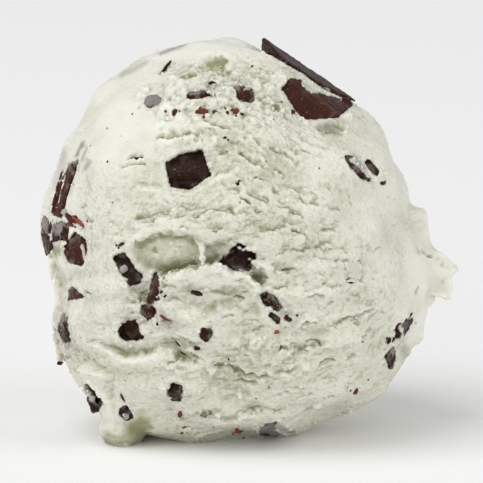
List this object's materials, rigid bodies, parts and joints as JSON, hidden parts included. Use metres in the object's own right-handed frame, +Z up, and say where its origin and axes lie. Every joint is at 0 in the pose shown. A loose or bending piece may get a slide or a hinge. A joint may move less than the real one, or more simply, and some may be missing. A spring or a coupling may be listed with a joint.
{
  "type": "mint chocolate chip ice cream scoop",
  "caption": "Round scoop of pale mint ice cream with broken dark chocolate frozen into it, resting on a small flat spot.",
  "frame": {"origin": "middle of the flat spot that the scoop rests on", "axes": "+Z up, +X to the right of the face, -Y out of the face, which looks a little upwards"},
  "size_m": [0.0699, 0.0635, 0.0657],
  "materials": {
    "ice_cream": "soft frozen cream, half matt, crumbly where torn",
    "dark_chocolate": "broken dark chocolate, half matt with a milky smear"
  },
  "bodies": {
    "root": {"ice_cream_scoop": "ice_cream", "chip_top_plate": "dark_chocolate", "chip_curled_flake": "dark_chocolate", "chip_cube": "dark_chocolate", "chip_long_shard": "dark_chocolate", "chip_left_chunk": "dark_chocolate", "chip_left_grey": "dark_chocolate", "chip_left_edge": "dark_chocolate", "chip_slab": "dark_chocolate", "chip_arrow": "dark_chocolate", "chip_splinter": "dark_chocolate", "chip_red_brown": "dark_chocolate", "chip_lower_left": "dark_chocolate", "chip_frosted": "dark_chocolate", "chip_left_triangle": "dark_chocolate", "chip_left_low": "dark_chocolate", "chip_corner": "dark_chocolate", "chip_bottom": "dark_chocolate", "chip_right_low": "dark_chocolate", "chip_right_leaf": "dark_chocolate", "chip_right_dark": "dark_chocolate", "chip_crown": "dark_chocolate", "chip_crown_sliver": "dark_chocolate", "chip_crown_left": "dark_chocolate", "chip_middle_low": "dark_chocolate", "chip_below": "dark_chocolate", "chip_foot": "dark_chocolate", "chip_frosted_small": "dark_chocolate", "chip_right_thin": "dark_chocolate", "chip_back_a": "dark_chocolate", "chip_back_b": "dark_chocolate", "chip_back_c": "dark_chocolate", "chip_back_d": "dark_chocolate", "chip_back_e": "dark_chocolate", "chip_back_f": "dark_chocolate", "chip_back_g": "dark_chocolate", "chip_back_h": "dark_chocolate", "chip_back_i": "dark_chocolate", "chip_back_j": "dark_chocolate"}
  },
  "joints": []
}
